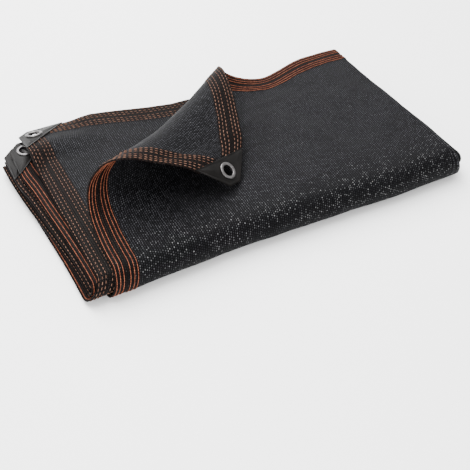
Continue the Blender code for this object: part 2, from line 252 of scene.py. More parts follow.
@dataclass(frozen=True)
class NetFinish:
    """Black plastic yarn knitted in wales, with dark gaps, painted shade on the front bulge, and painted glints
    on loops of the bulge and on stray loops.
    """

    wale: float = 0.0028
    course: float = 0.0030
    gap: tuple = (0.0004, 0.0004, 0.0006, 1.0)
    yarn: tuple = (0.026, 0.026, 0.029, 1.0)
    # Colour of the painted glints, a painted highlight on single loops.
    painted_glint: tuple = (0.15, 0.15, 0.15, 1.0)
    hem_gap: tuple = (0.0010, 0.0006, 0.0005, 1.0)
    hem_yarn: tuple = (0.0100, 0.0066, 0.0058, 1.0)
    roughness: float = 0.55
    stray_scale: float = 130.0
    cloud_scale: float = 16.0
    # The next value darkens the net on the front bulge: painted shade.
    front_painted_shade: float = 0.6
    # The next two values set how strong the painted glints are, on the front bulge and on stray loops.
    front_painted_glints: float = 0.62
    stray_painted_glints: float = 0.20

    def make(self) -> bpy.types.Material:
        """Builds the material.

        Returns:
            The net's material.
        """
        graph = Graph("shade_net", Metallic=0.0, Specular_IOR_Level=0.04)
        place = graph.node("ShaderNodeUVMap", {"uv_map": "sheet"}).outputs["UV"]
        parts = graph.node("ShaderNodeSeparateXYZ", None, {"Vector": place})
        stray = graph.noise(place, self.stray_scale, 2.0)
        across = Value(graph, parts.outputs["X"]) * (1.0 / self.wale) + stray * 0.9
        row = across.whole()
        along = Value(graph, parts.outputs["Y"]) * (1.0 / self.course) + row * 0.5 + stray * 0.8
        beside = (across.part() - 0.5).size() * 2.0
        between = (along.part() - 0.5).size() * 2.0
        loop = (1.0 - beside ** 1.6) * (1.0 - 0.75 * between ** 1.5)
        cell = graph.node("ShaderNodeCombineXYZ", None, {"X": row, "Y": along.whole()}).outputs[0]
        chance = graph.value("ShaderNodeTexWhiteNoise", {"noise_dimensions": "2D"}, {"Vector": cell})
        # Mask of the front bulge, where shade and glints are painted.
        front = graph.value("ShaderNodeAttribute", {"attribute_name": "front_shade_and_glint"}, None, "Fac")
        hem = graph.value("ShaderNodeAttribute", {"attribute_name": "hem"}, None, "Fac")
        uneven = graph.noise(place, self.cloud_scale, 4.0)
        lit = loop.rise(0.35, 0.85)
        # The last factor darkens the front bulge: painted shade.
        tone = (0.26 + chance * 1.15) * lit * (0.55 + uneven * 0.9) * (1.0 - front * self.front_painted_shade)
        net = graph.blend(tone, self.gap, self.yarn)
        doubled = graph.blend(tone, self.hem_gap, self.hem_yarn)
        # Painted highlights: bright specks on loops, many on the front bulge and a few elsewhere.
        painted_glint_strength = chance ** 6.0 * front * self.front_painted_glints + chance ** 50.0 * self.stray_painted_glints
        painted_glint = painted_glint_strength * loop.rise(0.5, 0.95) * (1.0 - hem * 0.75)
        graph.feed(Base_Color=graph.blend(painted_glint, graph.blend(hem, net, doubled), self.painted_glint))
        graph.feed(Roughness=self.roughness - painted_glint * 0.2 + chance * 0.15)
        graph.bump(loop + chance * 0.6, 0.55, 0.0006)
        return graph.material


@dataclass(frozen=True)
class ThreadFinish:
    """Orange sewing thread, uneven along its length."""

    name: str
    colour: tuple = (0.215, 0.070, 0.036, 1.0)
    faded: tuple = (0.110, 0.030, 0.016, 1.0)
    roughness: float = 0.55

    def make(self) -> bpy.types.Material:
        """Builds the material.

        Returns:
            The thread's material.
        """
        graph = Graph(self.name, Metallic=0.0, Specular_IOR_Level=0.08)
        place = graph.node("ShaderNodeTexCoord").outputs["Object"]
        uneven = graph.noise(place, 260.0, 2.0)
        graph.feed(Base_Color=graph.blend(uneven.rise(0.35, 0.65), self.faded, self.colour))
        graph.feed(Roughness=self.roughness + uneven * 0.2)
        return graph.material


@dataclass(frozen=True)
class PatchFinish:
    """Smooth black coated sheet with a faint grain."""

    colour: tuple = (0.0022, 0.0019, 0.0017, 1.0)
    worn: tuple = (0.0055, 0.0048, 0.0045, 1.0)
    roughness: float = 0.36

    def make(self) -> bpy.types.Material:
        """Builds the material.

        Returns:
            The patches' material.
        """
        graph = Graph("corner_patch", Metallic=0.0, Specular_IOR_Level=0.07)
        place = graph.node("ShaderNodeTexCoord").outputs["Object"]
        grain = graph.value("ShaderNodeTexVoronoi", {"feature": "F1"}, {"Vector": place, "Scale": 900.0})
        cloud = graph.noise(place, 60.0, 4.0)
        graph.feed(Base_Color=graph.blend(cloud.rise(0.4, 0.8), self.colour, self.worn))
        graph.feed(Roughness=self.roughness + cloud * 0.14)
        graph.bump(grain + cloud, 0.16, 0.0002)
        return graph.material


@dataclass(frozen=True)
class EyeletFinish:
    """Satin metal, turned and a little scuffed."""

    colour: tuple = (0.135, 0.13, 0.13, 1.0)
    dull: tuple = (0.060, 0.056, 0.056, 1.0)
    roughness: float = 0.26

    def make(self) -> bpy.types.Material:
        """Builds the material.

        Returns:
            The eyelets' material.
        """
        graph = Graph("eyelet_metal", Metallic=1.0)
        place = graph.node("ShaderNodeTexCoord").outputs["Object"]
        scuff = graph.noise(place, 700.0, 5.0)
        graph.feed(Base_Color=graph.blend(scuff.rise(0.3, 0.75), self.colour, self.dull))
        graph.feed(Roughness=self.roughness + scuff * 0.18)
        graph.bump(scuff, 0.06, 0.0001)
        return graph.material


@dataclass(frozen=True)
class Straight:
    """One pass of the doubled sheet: its level in pitches and how its edges run."""

    level: float
    outer: tuple
    inner: tuple
    right: tuple
    start: float
    length: float
    direction: float
    up: float


@dataclass(frozen=True)
class Turn:
    """One bend of the doubled sheet: centre in Y, level and radius in pitches."""

    centre: float
    level: float
    radius: float
    side: float
    inward: float
    rises: bool


@dataclass(frozen=True)
class Row:
    """One line across the section."""

    kind: Kind
    index: int
    where: float


@dataclass
class Roll:
    """The turned-back corner: the line where it lifts, and its rolled section."""

    start: tuple = (0.047, -0.020)
    end: tuple = (0.430, 0.299)
    turn_length: float = 0.223
    turn: float = 3.621
    ease: float = 1.838
    curl: float = 1.20
    curl_length: float = 0.191
    taper: float = -0.243
    waist: float = -0.272
    fade_from: float = 0.02125
    fade: float = 0.055
    steps: int = 400
    length: float = 0.40
    section: tuple = field(init=False)

    def __post_init__(self) -> None:
        """Works out the section by adding up its short steps."""
        along = np.linspace(0.0, self.length, self.steps)
        turned = self.turn * ease(np.clip(along / self.turn_length, 0.0, 1.0) ** self.ease)
        curled = np.clip((along - self.turn_length) / self.curl_length, 0.0, 1.0)
        angle = turned + self.curl * curled * curled
        middle = (angle[1:] + angle[:-1]) / 2
        step = along[1]
        across = np.concatenate([[0.0], np.cumsum(np.cos(middle)) * step])
        rise = np.concatenate([[0.0], np.cumsum(np.sin(middle)) * step])
        self.section = (along, across, rise)

    def lift(self, x: np.ndarray, y: np.ndarray, z: np.ndarray) -> tuple:
        """Rolls back the points that lie beyond the line.

        Args:
            x: places along the pad.
            y: places across the pad.
            z: heights.

        Returns:
            The moved x, y and z.
        """
        start = np.array(self.start)
        reach = np.array(self.end) - start
        line = np.linalg.norm(reach)
        along = reach / line
        corner = np.array([-along[1], along[0]])
        place = (x - start[0]) * along[0] + (y - start[1]) * along[1]
        beyond = (x - start[0]) * corner[0] + (y - start[1]) * corner[1]
        share = place / line - 0.5
        scale = 1.0 + self.taper * share + self.waist * (1.0 - 4.0 * share * share)
        length, across, rise = self.section
        travel = np.clip(beyond / scale, 0.0, self.length)
        back = np.interp(travel, length, across) * scale
        height = np.interp(travel, length, rise) * scale
        new_x = start[0] + along[0] * place + corner[0] * back
        new_y = start[1] + along[1] * place + corner[1] * back
        share = (beyond > 0.0) * ease((y - self.fade_from) / self.fade)
        return x + (new_x - x) * share, y + (new_y - y) * share, z + height * share


@dataclass
class Fold:
    """The folded pad: where any place of the sheet lies."""

    sheet: float = 0.0012
    hem: float = 0.0020
    hem_width: float = 0.031
    pitch: float = 0.0059
    layers: int = 8
    back_centre: float = 0.285
    top_back: float = 0.299
    inner_back: float = 0.294
    patch_leg: float = 0.0665
    patch_seam: float = 0.0075
    eyelet_inset: float = 0.0208
    frame_step: float = 0.012
    flat_margin: float = 0.004
    flat_reach: float = 0.108
    squeeze_end: float = 0.0935
    squash: float = 0.26
    squash_from: float = 0.014
    squash_width: float = 0.055
    squash_kept: float = 0.25
    squash_back: tuple = (0.14, 0.12)
    notch_x: float = 0.336
    notch_width: float = 0.056
    notch_depth: float = 0.017
    notch_drop: float = 0.0035
    notch_back: tuple = (0.19, 0.10)
    swell: float = 0.0016
    swell_length: float = 0.23
    swell_slant: float = 0.35
    swell_back: tuple = (0.02, 0.10)
    bow: float = 0.0025
    bow_start: float = 0.06
    bow_length: float = 0.46
    bow_depth: float = 0.10
    skew: tuple = (0.0045, 0.0195)
    skew_span: tuple = (0.05, 0.21, 0.38)
    skew_back: tuple = (0.03, 0.22)
    low_skew: float = 0.008
    low_skew_from: float = 0.13
    low_skew_width: float = 0.10
    tip_slope: float = 0.32
    tip_pivot: float = 0.300
    tip_from: float = 0.11
    tip_width: float = 0.09
    tip_back: tuple = (0.235, 0.045)
    roll: Roll = field(default_factory=Roll)

    def __post_init__(self) -> None:
        """Works out the passes and bends from the sizes."""
        self.first = self.sheet / 2
        self.top = self.first + (self.layers - 1) * self.pitch
        self.front_centre = (self.layers - 1) / 2 * self.pitch + self.sheet / 2
        self.cut = self.patch_leg - self.patch_seam
        front = self.front_centre
        deep = self.back_centre - front
        top_deep = self.top_back - front
        inner_deep = self.inner_back - front
        self.passes = (
            Straight(6.5, (0.006, 0.004), (-0.018, -0.015), (0.474, 0.479), self.top_back, top_deep, -1, 1),
            Straight(0.5, (-0.007, -0.040), (-0.034, -0.044), (0.486, 0.482), front, deep, 1, -1),
            Straight(2.5, (-0.046, -0.024), (-0.050, -0.028), (0.486, 0.495), self.back_centre, deep, -1, 1),
            Straight(4.5, (-0.026, -0.046), (-0.022, -0.038), (0.493, 0.482), front, inner_deep, 1, -1),
        )
        self.turns = (
            Turn(front, 3.5, 3.0, -1, 1, False),
            Turn(self.back_centre, 1.5, 1.0, 1, 1, True),
            Turn(front, 3.5, 1.0, -1, -1, True),
        )
        self.frames = {}
        for ply, index in ((Ply.OUTER, 0), (Ply.INNER, 0), (Ply.INNER, 3), (Ply.OUTER, 3)):
            self.frames[(ply, index)] = self.corner(ply, index)

    def middle(self, row: Row) -> tuple:
        """Middle of the doubled sheet on a row.

        Args:
            row: the row of the section.

        Returns:
            Its y, z, and the outward normal's y and z.
        """
        if row.kind is Kind.BEND:
            turn = self.turns[row.index]
            angle = math.pi * row.where
            height = -math.cos(angle) if turn.rises else math.cos(angle)
            reach = math.sin(angle) * turn.side
            y = turn.centre + reach * turn.radius * self.pitch
            z = self.first + (turn.level + height * turn.radius) * self.pitch
            return y, z, reach * turn.inward, height * turn.inward
        straight = self.passes[row.index]
        z = self.first + straight.level * self.pitch
        return straight.start + straight.direction * row.where, z, 0.0, straight.up

    def edges(self, row: Row) -> tuple:
        """Left edges of the outer and inner ply and the right fold on a row."""
        if row.kind is Kind.BEND:
            before = self.passes[row.index]
            after = self.passes[row.index + 1]
            pairs = (
                (before.outer[1], after.outer[0]),
                (before.inner[1], after.inner[0]),
                (before.right[1], after.right[0]),
            )
            share = row.where
        else:
            straight = self.passes[row.index]
            pairs = (straight.outer, straight.inner, straight.right)
            share = row.where / straight.length
        return tuple(low + (high - low) * ease(share) for low, high in pairs)

    def from_back(self, row: Row) -> float:
        """Distance from the free edge that the section starts or ends in."""
        if row.kind is Kind.PASS and row.index == 0:
            return row.where
        if row.kind is Kind.PASS and row.index == 3:
            return self.passes[3].length - row.where
        return 1.0

    def settle(self, x: np.ndarray, y: np.ndarray, z: np.ndarray) -> tuple:
        """The lying pad's unevenness, the same for every layer so that none meets another.

        Args:
            x: places along the pad.
            y: places across the pad.
            z: heights.

        Returns:
            The moved x, y and z.
        """
        under = np.clip((z - self.first) / (self.top - self.first), 0.0, 1.0)
        squash = self.squash * ease((self.squash_from - x) / self.squash_width)
        squash = squash * (1.0 - (1.0 - self.squash_kept) * band(y, self.squash_back))
        notch = np.exp(-(((x - self.notch_x) / self.notch_width) ** 2)) * band(y, self.notch_back)
        swell = np.sin(2 * np.pi * (x + self.swell_slant * y) / self.swell_length) * band(y, self.swell_back)
        lower = squash * self.top + self.notch_drop * notch - self.swell * swell
        bow = self.bow * np.sin(2 * np.pi * (x - self.bow_start) / self.bow_length)
        bow = bow * ease((self.bow_depth - y) / self.bow_depth)
        return x, y - self.notch_depth * notch + bow, z - under * lower

    def set_askew(self, x: np.ndarray, y: np.ndarray, z: np.ndarray, index: int) -> tuple:
        """Moves the points of a pass whose back-left corner lies askew.

        Args:
            x: places along the pad.
            y: places across the pad.
            z: heights.
            index: which pass.

        Returns:
            The moved x, y and z.
        """
        if index == 3:
            share = ease((self.low_skew_from - x) / self.low_skew_width) * band(y, self.skew_back)
            return x, y + self.low_skew * share, z
        start, turned, end = self.skew_span
        angle = np.pi * np.clip((x - start) / (turned - start), 0.0, 1.0)
        shift = (self.skew[0] + self.skew[1] * np.cos(angle)) * (1.0 - ease((x - turned) / (end - turned)))
        y = y + shift * band(y, self.skew_back)
        tipped = ease((self.tip_from - x) / self.tip_width) * band(y, self.tip_back)
        return x, y, z - self.tip_slope * (y - self.tip_pivot) * tipped

    def free(self, ply: Ply, distance: np.ndarray, row: Row) -> np.ndarray:
        """Points of the sheet's middle, before a corner patch stiffens it.

        Args:
            ply: which half of the sheet.
            distance: distances from its left edge, or angles round the right fold.
            row: the row of the section.

        Returns:
            One point for each distance.
        """
        y, z, normal_y, normal_z = self.middle(row)
        left_outer, left_inner, right = self.edges(row)
        if ply is Ply.FOLD:
            x = right + np.sin(distance) * self.pitch / 2
            side = np.cos(distance) / 2
        else:
            x = distance + (left_outer if ply is Ply.OUTER else left_inner)
            side = np.full_like(x, 0.5 if ply is Ply.OUTER else -0.5)
        y = y + side * self.pitch * normal_y
        z = z + side * self.pitch * normal_z
        on_pass = row.kind is Kind.PASS
        if on_pass and ply is Ply.OUTER and row.index == 0:
            x, y, z = self.roll.lift(x, y, z)
        elif on_pass and ply is not Ply.FOLD and row.index in (0, 3):
            x, y, z = self.set_askew(x, y, z, row.index)
        return np.stack(self.settle(x, y, z), axis=-1)

    def corner(self, ply: Ply, index: int) -> tuple:
        """Flat frame of a patched corner.

        Args:
            ply: which half of the sheet.
            index: which pass ends in the corner.

        Returns:
            Eyelet centre, and unit steps away from the left edge and from the back edge.
        """
        inset, step = self.eyelet_inset, self.frame_step

        def at(left: float, back: float) -> np.ndarray:
            """Point at these distances from the two edges."""
            where = back if index == 0 else self.passes[3].length - back
            return self.free(ply, np.array([left]), Row(Kind.PASS, index, where))[0]

        across = at(inset + step, inset) - at(inset - step, inset)
        across /= np.linalg.norm(across)
        down = at(inset, inset + step) - at(inset, inset - step)
        down -= across * (down @ across)
        down /= np.linalg.norm(down)
        return at(inset, inset), across, down

    def true_distance(self, distance: np.ndarray, back: float) -> np.ndarray:
        """Distances from the left edge, moved to the inner side of a cut corner."""
        gap = self.cut - back
        squeezed = gap + distance * (self.squeeze_end - gap) / self.squeeze_end
        return np.where((distance < self.squeeze_end) & (gap > 0.0), squeezed, distance)

    def points(self, ply: Ply, distance: np.ndarray, row: Row) -> np.ndarray:
        """Points of the sheet's middle, flat near a patch.

        Args:
            ply: which half of the sheet.
            distance: distances from its left edge, or angles round the right fold.
            row: the row of the section.

        Returns:
            One point for each distance.
        """
        back = self.from_back(row)
        if ply is Ply.FOLD or back > self.flat_reach:
            return self.free(ply, distance, row)
        distance = self.true_distance(distance, back)
        loose = self.free(ply, distance, row)
        start = self.patch_leg + self.flat_margin
        stiff = 1.0 - ease((distance + back - start) / (self.flat_reach - start))
        centre, across, down = self.frames[(ply, row.index)]
        flat = centre + across * (distance - self.eyelet_inset)[:, None] + down * (back - self.eyelet_inset)
        return flat * stiff[:, None] + loose * (1.0 - stiff[:, None])


@dataclass
class ShadeCloth:
    """The hemmed sheet as one fine grid on the pad's folds."""

    fold: Fold
    fine: float = 0.0042
    name: str = "shade_cloth"
    pucker: float = 0.0005
    ripple: float = 0.0007
    flap_width: float = 0.372
    plain_from: float = 0.379
    plain_to: float = 0.468
    last_squeezed: float = 0.0850
    bend_steps: tuple = (26, 12, 12)
    hidden_steps: int = 22
    last_steps: int = 18
    # Share of the front bulge's painted shade and painted glints that the inner ply gets.
    inner_shade_and_glint: float = 0.4
    rows: list = field(init=False)
    columns: list = field(init=False)

    def __post_init__(self) -> None:
        """Places the grid's rows and columns."""
        self.rows = self.row_stations()
        self.columns = self.column_stations()

    def edge_stations(self) -> list[float]:
        """Distances from a free edge, closer at the hem's inner line."""
        hem = self.fold.hem_width
        stations = list(np.linspace(0.0, hem - 0.0008, 8)) + [hem + 0.0010]
        return stations + [0.036, 0.041, 0.046, 0.0505, 0.055, self.fold.cut, 0.063, 0.068, 0.073, 0.079]

    def row_stations(self) -> list[Row]:
        """Rows of the section from the top free edge to the inner one."""
        fold = self.fold
        edge = self.edge_stations()
        rows = [Row(Kind.PASS, 0, station) for station in edge]
        top = fold.passes[0].length
        count = round((top - edge[-1]) / self.fine)
        rows += [Row(Kind.PASS, 0, edge[-1] + (top - edge[-1]) * step / count) for step in range(1, count)]
        for index, bend in enumerate(self.bend_steps):
            if index > 0:
                stretch = fold.passes[index].length / self.hidden_steps
                rows += [Row(Kind.PASS, index, stretch * step) for step in range(1, self.hidden_steps)]
            rows += [Row(Kind.BEND, index, step / bend) for step in range(bend + 1)]
        last = fold.passes[3].length
        stretch = (last - edge[-1]) / self.last_steps
        rows += [Row(Kind.PASS, 3, stretch * step) for step in range(1, self.last_steps)]
        rows += [Row(Kind.PASS, 3, last - station) for station in reversed(edge)]
        return rows

    def column_stations(self) -> list[tuple]:
        """Columns from the outer ply's left edge round the right fold to the inner ply's."""
        edge = self.edge_stations()
        free = self.fold.squeeze_end
        inner = [0.465, 0.45, 0.42, 0.38, 0.34, 0.30, 0.26, 0.22, 0.18, 0.15, 0.125, 0.105, free]
        count = round((self.flap_width - free) / self.fine)
        columns = [(Ply.OUTER, np.array(edge + [self.last_squeezed]))]
        columns += [(Ply.OUTER, np.linspace(free, self.flap_width, count))]
        columns += [(Ply.OUTER, np.linspace(self.plain_from, self.plain_to, 14))]
        columns += [(Ply.FOLD, np.linspace(0.0, math.pi, 8))]
        columns += [(Ply.INNER, np.array(inner + [self.last_squeezed]))]
        columns += [(Ply.INNER, np.array(list(reversed(edge))))]
        return columns

    def runs(self, points: np.ndarray) -> tuple:
        """Flat coordinates of the grid.

        Args:
            points: the grid's points.

        Returns:
            Distances across, from the fold's middle column, and along, from the first row.
        """
        steps = np.linalg.norm(np.diff(points, axis=0), axis=2)
        column = points.shape[1] // 3
        along = np.concatenate([[0.0], np.cumsum(steps[:, column])])
        wide = np.linalg.norm(np.diff(points, axis=1), axis=2)
        row = int(np.argmin(np.abs(along - 0.20)))
        across = np.concatenate([[0.0], np.cumsum(wide[row])])
        return across, along

    def edge_masks(self) -> tuple:
        """Distance of each grid point from the left edges and from the back edges."""
        left = np.concatenate([
            np.full(len(distance), 1.0) if ply is Ply.FOLD else distance for ply, distance in self.columns
        ])
        back = np.array([self.fold.from_back(row) for row in self.rows])
        true_left = np.array([self.fold.true_distance(left, from_back) for from_back in back])
        return true_left, np.repeat(back[:, None], len(left), axis=1)

    def grid(self) -> tuple:
        """Middle points, unit normals and half thickness of the whole sheet.

        Returns:
            Points, normals, half thicknesses, hem mask, and the mask of painted shade and painted glints on the
            front bulge, row by row.
        """
        fold = self.fold
        points = np.array([
            np.concatenate([fold.points(ply, distance, row) for ply, distance in self.columns])
            for row in self.rows
        ])
        left, back = self.edge_masks()
        nearest = np.minimum(left, back)
        hem = 1.0 - ease((nearest - fold.hem_width + 0.0008) / 0.0018)
        half = (fold.sheet + (fold.hem - fold.sheet) * hem) / 2
        across, along = self.runs(points)
        normals = self.normals(points)
        relief = self.relief(across[None, :], along[:, None], nearest, hem)
        patched = ease((left + back - fold.patch_leg - 0.006) / 0.03)
        points = points + normals * (relief * patched)[:, :, None]
        # Mask for the painted shade and painted glints on the front bulge.
        front_shade_and_glint = np.array([self.front_shade_and_glint(row) for row in self.rows])[:, None] * np.ones_like(nearest)
        outer = sum(len(distance) for ply, distance in self.columns if ply is Ply.OUTER)
        front_shade_and_glint[:, outer:] *= self.inner_shade_and_glint
        return points, self.normals(points), half, hem, front_shade_and_glint

    def front_shade_and_glint(self, row: Row) -> float:
        """How much of the front bulge's painted shade and painted glints a row has."""
        if row.kind is Kind.BEND:
            return 1.0 if row.index == 0 else 0.3
        if row.index == 0:
            return float(ease((row.where - self.fold.passes[0].length + 0.045) / 0.055)) * 0.96 + 0.04
        return 0.15

    def relief(self, across: np.ndarray, along: np.ndarray, nearest: np.ndarray, hem: np.ndarray) -> np.ndarray:
        """Small unevenness of the cloth, along its normal.

        Args:
            across: flat distances across the sheet.
            along: flat distances along it.
            nearest: distances from the nearest edge.
            hem: 1 on a hem and 0 off it.

        Returns:
            Offsets in metres.
        """
        slow = np.sin(across * 41 + 1.3 * np.sin(along * 23 + 0.7))
        slow = slow * np.sin(along * 37 + 1.1 * np.sin(across * 29))
        quick = np.sin(across * 97 + along * 61 + 0.9 * np.sin(along * 83)) * np.sin(along * 117 - across * 43)
        puckers = np.sin(along * 190 + 2.0 * np.sin(across * 31))
        puckers = puckers * np.sin(across * 173 + 1.7 * np.sin(along * 27))
        line = np.exp(-(((nearest - self.fold.hem_width) / 0.006) ** 2))
        return self.ripple * slow + 0.35 * self.ripple * quick + self.pucker * puckers * (0.35 * hem + line)

    @staticmethod
    def normals(points: np.ndarray) -> np.ndarray:
        """Unit normals of a grid of points."""
        normals = np.cross(np.gradient(points, axis=0), np.gradient(points, axis=1))
        return normals / np.linalg.norm(normals, axis=2, keepdims=True)

    def build(self, shift: np.ndarray, material: bpy.types.Material) -> bpy.types.Object:
        """Builds the sheet's mesh.

        Args:
            shift: moves the pad's own coordinates to the frame's.
            material: the net's finish.

        Returns:
            The sheet, with its flat coordinates as a UV map.
        """
        points, normals, half, hem, front_shade_and_glint = self.grid()
        across, along = self.runs(points)
        height, width = points.shape[:2]
        sides = []
        for side in (Face.RIGHT, Face.WRONG):
            placed = points + normals * half[:, :, None] * side.value
            placed[:, :, 2] = np.maximum(placed[:, :, 2], 0.0)
            sides.append(placed.reshape(-1, 3) + shift)
        verts = np.concatenate(sides)
        index = np.arange(height * width).reshape(height, width)
        a, b, c, d = index[:-1, :-1], index[1:, :-1], index[1:, 1:], index[:-1, 1:]
        offset = height * width
        right = np.stack([a, b, d, b, c, d], axis=-1).reshape(-1, 3)
        wrong = np.stack([a, d, b, b, d, c], axis=-1).reshape(-1, 3) + offset
        rim = list(index[0]) + list(index[1:, -1]) + list(index[-1, -2::-1]) + list(index[-2:0:-1, 0])
        ring = []
        for one, other in zip(rim, rim[1:] + rim[:1]):
            ring += [(one, other, other + offset), (one, other + offset, one + offset)]
        faces = np.concatenate([right, wrong, np.array(ring)])
        mesh = bpy.data.meshes.new(self.name)
        mesh.from_pydata(verts.tolist(), [], faces.tolist())
        self.add_data(mesh, across, along, hem, front_shade_and_glint)
        self.face_out(mesh)
        mesh.materials.append(material)
        mesh.shade_smooth()
        piece = bpy.data.objects.new(self.name, mesh)
        bpy.context.collection.objects.link(piece)
        return piece

    @staticmethod
    def add_data(
        mesh: bpy.types.Mesh, across: np.ndarray, along: np.ndarray, hem: np.ndarray, front_shade_and_glint: np.ndarray
    ) -> None:
        """Stores the flat coordinates and the masks on the mesh."""
        flat = np.stack(np.meshgrid(across, along), axis=-1).reshape(-1, 2)
        flat = np.concatenate([flat, flat])
        corners = np.zeros(len(mesh.loops), dtype=np.int32)
        mesh.loops.foreach_get("vertex_index", corners)
        layer = mesh.uv_layers.new(name="sheet")
        layer.data.foreach_set("uv", flat[corners].ravel())
        # The second mask carries the front bulge's painted shade and painted glints.
        for label, mask in (("hem", hem), ("front_shade_and_glint", front_shade_and_glint)):
            attribute = mesh.attributes.new(label, "FLOAT", "POINT")
            attribute.data.foreach_set("value", np.concatenate([mask.ravel(), mask.ravel()]))

    @staticmethod
    def face_out(mesh: bpy.types.Mesh) -> None:
        """Turns every face outwards."""
        work = bmesh.new()
        work.from_mesh(mesh)
        bmesh.ops.recalc_face_normals(work, faces=work.faces)
        work.to_mesh(mesh)
        work.free()


@dataclass
class StitchRun:
    """One sewn row: the points it follows and the sheet's normals there."""

    points: np.ndarray
    normals: np.ndarray


@dataclass
class HemStitching:
    """Six rows of orange stitches on every hem, in two groups of three."""

    cloth: ShadeCloth
    rows: tuple = (0.0025, 0.0070, 0.0115, 0.0195, 0.0243, 0.0288)
    pitch: dict = field(default_factory=lambda: {Face.RIGHT: 0.0031, Face.WRONG: 0.0062})
    stitch: dict = field(default_factory=lambda: {Face.RIGHT: 0.0041, Face.WRONG: 0.0048})
    thread: dict = field(default_factory=lambda: {Face.RIGHT: 0.00100, Face.WRONG: 0.00092})
    lift: float = 0.00022

    def tree(self, material: bpy.types.Material) -> bpy.types.NodeTree:
        """Geometry Nodes that lay a stitch at each step of a line.

        Args:
            material: the thread's finish.

        Returns:
            The node tree.
        """
        tree = bpy.data.node_groups.new("hem_stitches", "GeometryNodeTree")
        tree.interface.new_socket("Geometry", in_out="INPUT", socket_type="NodeSocketGeometry")
        for label in ("Pitch", "Stitch length", "Thread"):
            tree.interface.new_socket(label, in_out="INPUT", socket_type="NodeSocketFloat")
        tree.interface.new_socket("Seed", in_out="INPUT", socket_type="NodeSocketInt")
        tree.interface.new_socket("Geometry", in_out="OUTPUT", socket_type="NodeSocketGeometry")

        def add(kind: str, settings: dict | None = None, inputs: dict | None = None) -> bpy.types.Node:
            """Adds a node with its settings, values and links."""
            return add_node(tree, kind, settings, inputs)

        group = add("NodeGroupInput").outputs
        curve = add("GeometryNodeMeshToCurve", None, {"Mesh": group["Geometry"]}).outputs["Curve"]
        even = add("GeometryNodeResampleCurve", {"mode": "LENGTH"}, {"Curve": curve, "Length": group["Pitch"]})
        tangent = add("GeometryNodeInputTangent").outputs["Tangent"]
        normal = add("GeometryNodeInputNamedAttribute", {"data_type": "FLOAT_VECTOR"}, {"Name": "sheet_normal"})
        lengthwise = add("FunctionNodeAlignRotationToVector", {"axis": "X"}, {"Vector": tangent})
        upright = add(
            "FunctionNodeAlignRotationToVector",
            {"axis": "Z", "pivot_axis": "X"},
            {"Rotation": lengthwise.outputs[0], "Vector": normal.outputs["Attribute"]},
        )
        stray = add(
            "FunctionNodeRandomValue",
            {"data_type": "FLOAT_VECTOR"},
            {"Min": (0.86, 0.85, 0.9), "Max": (1.08, 1.15, 1.1), "Seed": group["Seed"]},
        )
        stitch = add("GeometryNodeMeshIcoSphere", None, {"Radius": 0.5, "Subdivisions": 1})
        thread = group["Thread"]
        sized = add("ShaderNodeCombineXYZ", None, {"X": group["Stitch length"], "Y": thread, "Z": thread})
        shaped = add(
            "GeometryNodeTransform",
            None,
            {"Geometry": stitch.outputs["Mesh"], "Scale": sized.outputs[0]},
        )
        laid = add(
            "GeometryNodeInstanceOnPoints",
            None,
            {
                "Points": even.outputs["Curve"],
                "Instance": shaped.outputs["Geometry"],
                "Rotation": upright.outputs[0],
                "Scale": stray.outputs["Value"],
            },
        )
        real = add("GeometryNodeRealizeInstances", None, {"Geometry": laid.outputs["Instances"]})
        dressed = add("GeometryNodeSetMaterial", None, {"Geometry": real.outputs[0], "Material": material})
        add("NodeGroupOutput", None, {"Geometry": dressed.outputs[0]})
        return tree

    def runs(self, face: Face) -> list[StitchRun]:
        """All the rows on one side of the sheet.

        Args:
            face: which side.

        Returns:
            One run for each sewn row.
        """
        points, normals, half, _, _ = self.cloth.grid()
        left, back = self.cloth.edge_masks()
        outwards = normals * face.value
        places = np.concatenate([points + outwards * (half + self.lift)[:, :, None], outwards], axis=2)
        reach = len(self.cloth.edge_stations()) + 1
        height, width = left.shape
        hypotenuse = self.cloth.fold.patch_leg
        found = []
        for inset in self.rows:
            start = self.pitch[face] * math.ceil((hypotenuse - inset) / self.pitch[face])
            for columns in (slice(0, reach), slice(width - 1, width - reach - 1, -1)):
                line, beside = self.between(places[:, columns], left[:, columns], back[:, columns], inset)
                found.append(self.cut(line, beside, start))
            for rows in (slice(0, reach), slice(height - 1, height - reach - 1, -1)):
                swapped = [np.swapaxes(grid[rows], 0, 1) for grid in (places, back, left)]
                line, beside = self.between(*swapped, inset)
                found.append(self.cut(line, beside, start))
        return found

    @staticmethod
    def cut(line: np.ndarray, beside: np.ndarray, start: float) -> StitchRun:
        """The part of a row that the patches leave free.

        Args:
            line: points and normals along the row.
            beside: their distances from the nearer edge across the row.
            start: the distance at which both ends of the part lie.

        Returns:
            The part, with a point at each of its exact ends.
        """
        keep = np.flatnonzero(beside > start)
        ends = []
        for inner, outer in ((keep[0], keep[0] - 1), (keep[-1], keep[-1] + 1)):
            share = (start - beside[outer]) / (beside[inner] - beside[outer])
            ends.append((line[outer] * (1.0 - share) + line[inner] * share)[None])
        whole = np.concatenate([ends[0], line[keep[0]:keep[-1] + 1], ends[1]])
        return StitchRun(whole[:, :3], whole[:, 3:])

